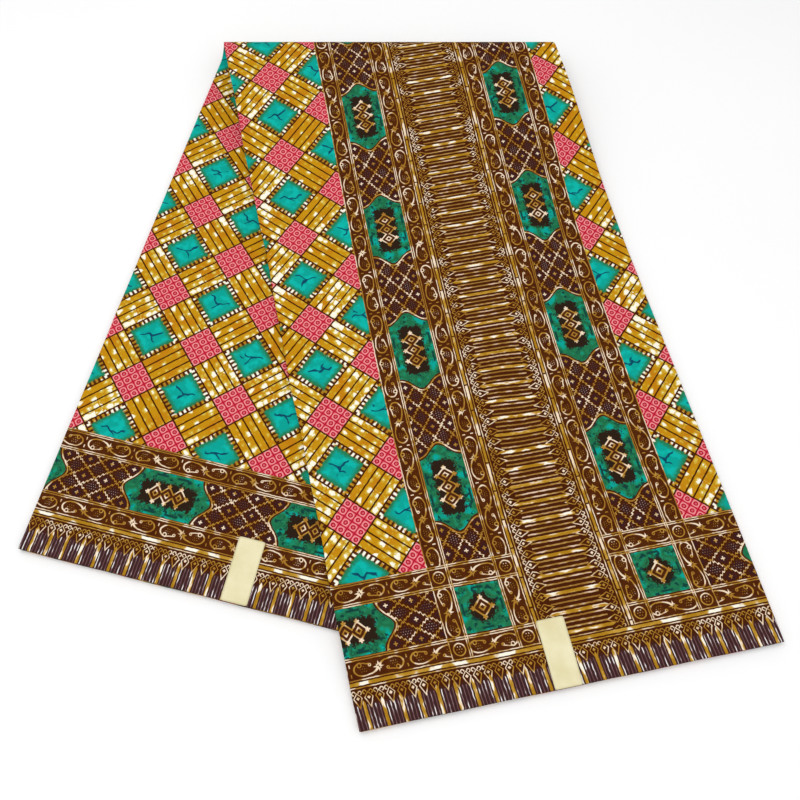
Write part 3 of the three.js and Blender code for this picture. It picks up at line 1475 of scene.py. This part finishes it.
@dataclass
class PrintedCloth:
    """One ply that shows: cut from the flat print and laid round the strip."""

    name: str
    node: str
    slot: str
    half: Half
    layout: PrintLayout
    strip: FoldedStrip
    face_depth: float
    step: float = 3.2
    fold_step: float = 1.6
    front_fold_zone: float = 60.0  # rows are closer together down to here
    back_fold_zone: float = -170.0
    spare: float = 14.0  # printed past the cut, all round
    thickness: float = 0.45
    edge_radius: float = 0.45
    scores: tuple[float, ...] = (0.35, 1.0)  # shares of the edge's radius

    def tuck_along(self, across: float) -> float:
        """Find where the ply ends, hidden past the fold.

        Args:
            across: distance from the strip's left edge.

        Returns:
            Length along the flat cloth from the fold.
        """
        strip = self.strip
        shear = math.sin(strip.fan) * across
        if self.half is Half.FRONT:
            return (shear - strip.loop_travel - strip.tuck) / math.cos(strip.fan)
        return -(strip.loop_travel + strip.tuck + shear) / math.cos(strip.fan)

    def flat_mesh(self) -> bmesh.types.BMesh:
        """Lay out the printed cloth flat, divided along the print's bands, and cut it to size.

        Returns:
            The flat cloth.
        """
        strip, layout = self.strip, self.layout
        corners = [
            layout.in_print(across, along)
            for across in (0.0, strip.width)
            for along in (self.tuck_along(across), strip.hem(self.half, across))
        ]
        sides = sorted(a for a, _ in corners)
        downs = sorted(b for _, b in corners)
        side_stops = []
        if layout.axis is not None:
            reaches = (0.0, *(band.end for band in LONG_BANDS))
            side_stops = [layout.axis + sign * reach for sign in (-1, 1) for reach in reaches]
        down_stops = [layout.hem - band.end for band in HEM_BANDS]
        columns = ticks(sides[0] - self.spare, sides[-1] + self.spare, side_stops, self.step)
        zone = self.front_fold_zone if self.half is Half.FRONT else self.back_fold_zone
        rows = ticks(downs[0] - self.spare, zone, down_stops, self.fold_step)
        rows += ticks(zone, downs[-1] + self.spare, down_stops, self.step)[1:]
        flat = bmesh.new()
        grid = [[flat.verts.new((*layout.on_cloth(a, b), 0.0)) for a in columns] for b in rows]
        fill_grid(flat, grid)
        self.trim(flat)
        return flat

    def side_cuts(self, inset: float, clear: bool) -> list[tuple[Vector, Vector, bool]]:
        """List the cuts along the two long edges.

        Args:
            inset: distance from each edge.
            clear: whether the cloth outside them is taken off.

        Returns:
            A point, the way out and whether it clears, for each cut.
        """
        return [
            (Vector((inset, 0, 0)), Vector((-1, 0, 0)), clear),
            (Vector((self.strip.width - inset, 0, 0)), Vector((1, 0, 0)), clear),
        ]

    def trim(self, flat: bmesh.types.BMesh) -> None:
        """Cut the flat cloth along its edges and hem, and score it beside the long edges.

        Args:
            flat: the flat cloth.
        """
        width = self.strip.width
        cuts = self.side_cuts(0.0, clear=True)
        for end, way in ((self.tuck_along, -1), (lambda x: self.strip.hem(self.half, x), 1)):
            left = Vector((0, end(0.0), 0))
            run = end(width) - end(0.0)
            cuts.append((left, Vector((-run, width, 0)) * way, True))
        for share in self.scores:
            cuts += self.side_cuts(self.edge_radius * share, clear=False)
        for point, normal, clear in cuts:
            geometry = flat.verts[:] + flat.edges[:] + flat.faces[:]
            bmesh.ops.bisect_plane(
                flat, geom=geometry, dist=1e-4, plane_co=point, plane_no=normal, clear_outer=clear)

    def lay(self, across: float, along: float) -> Vector:
        """Lay a point of the flat cloth on the strip, turned down at the long edges.

        Args:
            across: distance from the strip's left edge.
            along: length along the flat cloth from the fold.

        Returns:
            The point, in metres.
        """
        strip, radius = self.strip, self.edge_radius
        rim = max(0.0, min(across, strip.width - across, radius))
        drop = radius - math.sqrt(radius ** 2 - (radius - rim) ** 2)
        inward = drop if self.half is Half.FRONT else -drop
        return strip.place(across, strip.travel(self.half, across, along), self.face_depth + inward)

    def build(self) -> bpy.types.Object:
        """Print, cut and lay the cloth.

        Returns:
            The piece.
        """
        flat = self.flat_mesh()
        motifs = list(Motif)
        prints = flat.loops.layers.uv.new(PRINT_MAP)
        for face in flat.faces:
            middle = face.calc_center_median()
            place = self.layout.in_print(middle.x, middle.y)
            bands = self.layout.bands(*place)
            face.material_index = motifs.index(self.layout.read(*bands, *place)[0])
            for loop in face.loops:
                spot = self.layout.in_print(loop.vert.co.x, loop.vert.co.y)
                loop[prints].uv = self.layout.read(*bands, *spot)[1:]
        for vert in flat.verts:
            vert.co = self.lay(vert.co.x, vert.co.y)
        turn_up(flat)
        finishes = [motif.value().material() for motif in motifs]
        return finish_mesh(flat, self.name, finishes, self.thickness)

    def dress(self, piece: bpy.types.Object) -> None:
        """Args:
            piece: the piece.
        """
        width, middle = self.strip.width, self.strip.width / 2
        length = self.strip.hem(self.half, middle) - self.tuck_along(middle)
        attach(piece, BODY)
        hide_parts(self.node)
        length * METRE
        LOG.info("%s: %.0f by %.0f mm of printed cotton", self.name, width, length)


@dataclass
class InnerPlies:
    """The plies between the two that show: a core, and its folded edges and selvedges."""

    strip: FoldedStrip
    name: str = "inner_plies"
    cover: float = 0.6  # depth that a ply that shows takes up, with the air under it
    columns: int = 40
    rows: int = 92
    fold_rows: int = 72
    core_inset: float = 1.1
    edge_inset: float = 0.8
    edge_sway: float = 0.12
    folds: int = 8
    fold_squash: float = 1.08  # how far a folded pair presses into its neighbours
    fold_uneven: float = 0.22
    fold_turn: float = 2.4  # radians from one fold to the next
    selvedges: int = 13
    selvedge_step: float = 4.0
    selvedge_inset: float = 0.9
    selvedge_short: float = 0.75
    selvedge_uneven: float = 0.45
    selvedge_turn: float = 2.1
    selvedge_phase: float = 1.3
    selvedge_wave: float = 0.35
    selvedge_wave_run: float = 23.0

    @property
    def fold_radius(self) -> float:
        """Half the thickness of a folded pair of plies."""
        return (self.strip.stack - 2 * self.cover) / self.folds / 2 * self.fold_squash

    @property
    def selvedge_radius(self) -> float:
        """Half the thickness of a single ply at a hem."""
        return self.strip.stack / self.selvedges / 2

    def span(self, travel: float) -> tuple[float, float]:
        """Find the depths of the uppermost and lowest hidden ply.

        Args:
            travel: distance over the fold.

        Returns:
            The two depths.
        """
        strip = self.strip
        reach = strip.taper_end - strip.taper_start
        past_back = 1 - smoothstep((-travel - strip.loop_travel - strip.taper_start) / reach)
        past_front = 1 - smoothstep((travel - strip.taper_start) / reach)
        return self.cover * past_back, strip.stack - self.cover * past_front

    def depth(self, travel: float, radius: float, edge: int, edges: int) -> float:
        """Find how deep the middle of one of several stacked edges lies.

        Args:
            travel: distance over the fold.
            radius: half the thickness of an edge.
            edge: its number, from the uppermost.
            edges: how many there are.

        Returns:
            The depth.
        """
        top, bottom = self.span(travel)
        return top + radius + (bottom - top - 2 * radius) * edge / (edges - 1)

    def stations(self, across: float, inset: float) -> list[float]:
        """List travels from the front hem, round the fold, to the back hem.

        Args:
            across: distance from the strip's left edge.
            inset: how far short of each hem they stop.

        Returns:
            The travels, always as many.
        """
        strip = self.strip
        reach = strip.taper_end
        front = spread(strip.end(Half.FRONT, across) - inset, reach, self.rows)
        fold = spread(reach, -strip.loop_travel - reach, self.fold_rows)
        back = spread(-strip.loop_travel - reach, strip.end(Half.BACK, across) + inset, self.rows)
        return front + fold[1:] + back[1:]

    def core(self) -> bmesh.types.BMesh:
        """Build the closed core of the strip, a little inside its edges.

        Returns:
            The core.
        """
        strip, inset = self.strip, self.core_inset
        columns = [(a, self.stations(a, inset)) for a in spread(inset, strip.width - inset, self.columns)]
        last = len(columns[0][1]) - 1
        shell = bmesh.new()
        outer, inner = [
            [[shell.verts.new(strip.place(a, stations[i], self.span(stations[i])[side]))
              for a, stations in columns] for i in range(last + 1)]
            for side in (0, 1)
        ]
        fill_grid(shell, outer)
        fill_grid(shell, inner)
        rim = [(0, j) for j in range(self.columns)] + [(i, self.columns) for i in range(last)]
        rim += [(last, j) for j in range(self.columns, 0, -1)] + [(i, 0) for i in range(last, 0, -1)]
        for (i, j), (k, m) in zip(rim, rim[1:] + rim[:1]):
            shell.faces.new((outer[i][j], outer[k][m], inner[k][m], inner[i][j]))
        bmesh.ops.recalc_face_normals(shell, faces=shell.faces[:])
        return shell

    def edge_paths(self) -> list[list[Vector]]:
        """Lay out the folded edges: one for each pair of plies, along both long edges.

        Returns:
            The paths, in metres.
        """
        paths = []
        radius = self.fold_radius
        for across, inwards in ((0.0, 1.0), (self.strip.width, -1.0)):
            for fold in range(self.folds):
                uneven = self.fold_uneven * (1 + math.sin(self.fold_turn * fold + across))
                place = across + inwards * (radius + uneven)
                paths.append([
                    self.strip.place(place, travel, self.depth(travel, radius, fold, self.folds))
                    for travel in self.stations(place, self.edge_inset)
                ])
        return paths

    def selvedge_paths(self) -> list[list[Vector]]:
        """Lay out the plies' ends along the two hems, some a little short.

        Returns:
            The paths, in metres.
        """
        paths = []
        radius = self.selvedge_radius
        inset = self.selvedge_inset
        stops = ticks(inset, self.strip.width - inset, (), self.selvedge_step)
        for half, sign in ((Half.FRONT, 1.0), (Half.BACK, -1.0)):
            for ply in range(self.selvedges):
                turn = self.selvedge_turn * ply + self.selvedge_phase * sign
                short = self.selvedge_short + self.selvedge_uneven * math.sin(turn)
                path = []
                for across in stops:
                    sway = self.selvedge_wave * math.sin(across / self.selvedge_wave_run + ply)
                    travel = self.strip.end(half, across) - sign * (short + sway)
                    depth = self.depth(travel, radius, ply, self.selvedges)
                    path.append(self.strip.place(across, travel, depth))
                paths.append(path)
        return paths

    def add_edges(
        self, shape: bmesh.types.BMesh, paths: list[list[Vector]], radius: float, finish: bpy.types.Material
    ) -> None:
        """Run a rounded ply edge along each path, by Geometry Nodes.

        Args:
            shape: the shape that they are added to.
            paths: the paths, in metres.
            radius: radius of the edge, in millimetres.
            finish: their material.
        """
        lines = bmesh.new()
        for path in paths:
            verts = [lines.verts.new(point) for point in path]
            for pair in zip(verts, verts[1:]):
                lines.edges.new(pair)
        guide = finish_mesh(lines, "ply paths")
        plain = guide.data
        tree = PlyEdgeTree().build()
        modifier = guide.modifiers.new("ply edges", "NODES")
        modifier.node_group = tree
        sizes = {"Radius": radius * METRE, "Sway": self.edge_sway * METRE, "Material": finish}
        for item in tree.interface.items_tree:
            if item.in_out == "INPUT" and item.name in sizes:
                modifier[item.identifier] = sizes[item.name]
        shaped = guide.evaluated_get(bpy.context.evaluated_depsgraph_get())
        shape.from_mesh(shaped.to_mesh())
        shaped.to_mesh_clear()
        bpy.data.objects.remove(guide)
        bpy.data.meshes.remove(plain)

    def build(self) -> bpy.types.Object:
        """Build the core and its edges as one piece.

        Returns:
            The piece.
        """
        joined = self.core()
        finish = FoldedEdgeCotton().material()
        self.add_edges(joined, self.edge_paths(), self.fold_radius, finish)
        self.add_edges(joined, self.selvedge_paths(), self.selvedge_radius, finish)
        for face in joined.faces:
            face.material_index = 0
        return finish_mesh(joined, self.name, [finish])

    def dress(self, piece: bpy.types.Object) -> None:
        """Args:
            piece: the piece.
        """
        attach(piece, BODY)
        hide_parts("hidden_plies")
        LOG.info("%s: %d folded edges a side, %d plies at each hem", self.name, self.folds, self.selvedges)


@dataclass(frozen=True)
class PlyEdgeTree:
    """Geometry Nodes tree that turns a path into the rounded, slightly uneven edge of a ply."""

    title: str = "ply edge"
    inputs: tuple[tuple[str, str], ...] = (
        ("Geometry", "NodeSocketGeometry"), ("Radius", "NodeSocketFloat"),
        ("Sway", "NodeSocketFloat"), ("Material", "NodeSocketMaterial"),
    )
    seed: float = 3.7
    sway_scale: float = 55.0  # noise cells for each metre
    sway_ways: tuple[float, float, float] = (1.0, 1.0, 0.0)
    sides: int = 6

    def build(self) -> bpy.types.NodeTree:
        """Build the tree, or hand back the one already made.

        Returns:
            The tree, whose noise has a fixed seed.
        """
        tree = bpy.data.node_groups.get(self.title)
        if tree:
            return tree
        tree = bpy.data.node_groups.new(self.title, "GeometryNodeTree")
        tree.interface.new_socket("Geometry", in_out="OUTPUT", socket_type="NodeSocketGeometry")
        for name, kind in self.inputs:
            tree.interface.new_socket(name, in_out="INPUT", socket_type=kind)
        paths = add_node(tree, "NodeGroupInput")
        radius, sway, material = (paths.other(i) for i in (1, 2, 3))
        curve = add_node(tree, "GeometryNodeMeshToCurve", (paths,))
        place = add_node(tree, "GeometryNodeInputPosition")
        noise = {"Vector": place, "W": self.seed, "Scale": self.sway_scale, "Detail": 1.0}
        wander = add_node(tree, "ShaderNodeTexNoise", noise, 1, noise_dimensions="4D")
        centred = add_node(tree, "ShaderNodeVectorMath", (wander, MID_NOISE), operation="SUBTRACT")
        level = add_node(tree, "ShaderNodeVectorMath", (centred, self.sway_ways), operation="MULTIPLY")
        moved = add_node(tree, "ShaderNodeVectorMath", {0: level, "Scale": sway}, operation="SCALE")
        swayed = add_node(tree, "GeometryNodeSetPosition", {"Geometry": curve, "Offset": moved})
        circle = {"Resolution": self.sides, "Radius": radius}
        outline = add_node(tree, "GeometryNodeCurvePrimitiveCircle", circle)
        sweep = {"Curve": swayed, "Profile Curve": outline, "Fill Caps": True}
        edge = add_node(tree, "GeometryNodeCurveToMesh", sweep)
        real = add_node(tree, "GeometryNodeRealizeInstances", (edge,))
        finished = add_node(tree, "GeometryNodeSetMaterial", {"Geometry": real, "Material": material})
        add_node(tree, "NodeGroupOutput", (finished,))
        return tree


@dataclass
class Label:
    """A blank paper label stuck on the ply that shows, at the hem."""

    name: str
    node: str
    half: Half
    strip: FoldedStrip
    shift: float
    width: float = 21.0
    length: float = 50.0
    gap: float = 0.1
    thickness: float = 0.3
    corner: float = 1.2
    columns: int = 12
    rows: int = 28
    buckles: Waves = ((0.16, 2.0, 5.0), (0.1, 9.0, 3.0))  # height, radians across and up the label

    def rounded(self, u: float, v: float) -> tuple[float, float]:
        """Draw the label's corners in along a small round.

        Args:
            u: share of the width.
            v: share of the length.

        Returns:
            Place from the label's middle, in millimetres.
        """
        x = (u - 0.5) * self.width
        y = (v - 0.5) * self.length
        inner_x = self.width / 2 - self.corner
        inner_y = self.length / 2 - self.corner
        over_x, over_y = abs(x) - inner_x, abs(y) - inner_y
        if over_x > 0 and over_y > 0:
            share = max(over_x, over_y) / math.hypot(over_x, over_y)
            x = math.copysign(inner_x + over_x * share, x)
            y = math.copysign(inner_y + over_y * share, y)
        return x, y

    def place(self, u: float, v: float) -> Vector:
        """Place a point of the label's face, very slightly buckled.

        Args:
            u: share of the width.
            v: share of the length, up from the hem.

        Returns:
            The point, in metres.
        """
        strip = self.strip
        x, y = self.rounded(u, v)
        across = strip.width / 2 + self.shift + x
        along = strip.hem(self.half, across) - self.length / 2 - y
        buckle = sum(height * math.sin(a * u + b * v) ** 2 for height, a, b in self.buckles)
        lift = self.gap + self.thickness + buckle
        depth = -lift if self.half is Half.FRONT else strip.stack + lift
        return strip.place(across, strip.travel(self.half, across, along), depth)

    def build(self) -> bpy.types.Object:
        """Build the label.

        Returns:
            The piece.
        """
        sheet = bmesh.new()
        shares = spread(0.0, 1.0, self.columns)
        grid = [[sheet.verts.new(self.place(u, v)) for u in shares] for v in spread(0.0, 1.0, self.rows)]
        fill_grid(sheet, grid)
        turn_up(sheet)
        return finish_mesh(sheet, self.name, [LABEL_PAPER.material()], self.thickness)

    def dress(self, piece: bpy.types.Object) -> None:
        """Args:
            piece: the piece.
        """
        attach(piece, BODY)
        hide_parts(self.node)
        LOG.info("%s: blank, %.0f by %.0f mm", self.name, self.width, self.length)


@dataclass(frozen=True)
class Lamp:
    """A square lamp that faces the cloth."""

    name: str
    place: tuple[float, float, float]  # metres
    side: float  # metres
    watts: float

    def hang(self) -> None:
        """Add the lamp to the scene."""
        light = bpy.data.lights.new(self.name, "AREA")
        light.size = self.side
        light.energy = self.watts
        holder = bpy.data.objects.new(self.name, light)
        holder.location = self.place
        holder.rotation_euler = (-Vector(self.place)).to_track_quat("-Z", "Y").to_euler()
        bpy.context.scene.collection.objects.link(holder)


@dataclass(frozen=True)
class Studio:
    """White board, soft overhead light and the camera."""

    lamps: tuple[Lamp, ...] = (
        Lamp("overhead", place=(-0.35, 0.1, 1.5), side=1.2, watts=10.0),
        Lamp("fill", place=(0.7, -0.8, 1.3), side=1.4, watts=4.5),
    )
    focus: tuple[float, float, float] = (5.415, -61.563, 0.0)
    elevation: float = math.radians(65.784)
    distance: float = 719.4
    lens: float = 38.92
    sensor: float = 36.0
    board_half: float = 6000.0
    board_drop: float = 0.2  # clear of the cloth
    glow: float = 0.62

    def floor(self) -> None:
        """Lay the board, large enough to fill the view."""
        plane = bmesh.new()
        bmesh.ops.create_grid(plane, x_segments=8, y_segments=8, size=self.board_half * METRE)
        board = finish_mesh(plane, "board", [WHITE_BOARD.material()])
        board.location.z = -self.board_drop * METRE

    def camera(self) -> None:
        """Set up the camera, level, at the photograph's angle."""
        target = Vector(self.focus) * METRE
        away = Vector((0.0, -math.cos(self.elevation), math.sin(self.elevation)))
        lens = bpy.data.cameras.new("camera")
        lens.lens = self.lens
        lens.sensor_width = self.sensor
        viewer = bpy.data.objects.new("camera", lens)
        viewer.location = target + away * self.distance * METRE
        viewer.rotation_euler = (math.pi / 2 - self.elevation, 0.0, 0.0)
        bpy.context.scene.collection.objects.link(viewer)
        bpy.context.scene.camera = viewer

    def world(self) -> None:
        """Fill the room with pale light."""
        room = bpy.data.worlds.new("room")
        room.use_nodes = True
        room.node_tree.nodes.clear()
        light = {"Color": linear(DYES.board_pale), "Strength": self.glow}
        glow = add_node(room.node_tree, "ShaderNodeBackground", light)
        add_node(room.node_tree, "ShaderNodeOutputWorld", (glow,))
        bpy.context.scene.world = room

    def build(self) -> None:
        """Set up the whole studio."""
        self.floor()
        for lamp in self.lamps:
            lamp.hang()
        self.camera()
        self.world()
        bpy.context.scene.view_settings.view_transform = "Standard"


def main() -> None:
    """Build the folded cloth piece by piece."""
    logging.basicConfig(level=logging.INFO, format="%(message)s")
    strip = FoldedStrip()
    front_print = PrintLayout(
        turn=math.radians(1.598), centre=(36.2, 48.9), hem=595.2, axis=149.0,
        second_lattice=(255.7, 41.8), star_along_hem=113.1, medallion_along_hem=172.0, drift=Drift())
    back_print = PrintLayout(
        turn=math.radians(0.977), centre=(38.5, 265.6), hem=243.8,
        star_along_hem=3.1, medallion_along_hem=63.2, stretch=1.02)
    pieces = (
        InnerPlies(strip),
        PrintedCloth(
            name="front_cloth", node="front_cover", slot="printed_cotton_front",
            half=Half.FRONT, layout=front_print, strip=strip, face_depth=0.0),
        PrintedCloth(
            name="back_cloth", node="back_cover", slot="printed_cotton_back",
            half=Half.BACK, layout=back_print, strip=strip, face_depth=strip.stack),
        Label(name="front_paper_label", node="front_label", half=Half.FRONT, strip=strip, shift=-5.0),
        Label(name="back_paper_label", node="back_label", half=Half.BACK, strip=strip, shift=15.0),
    )
    for part in pieces:
        part.dress(part.build())
    Studio().build()


if __name__ == "__main__":
    main()
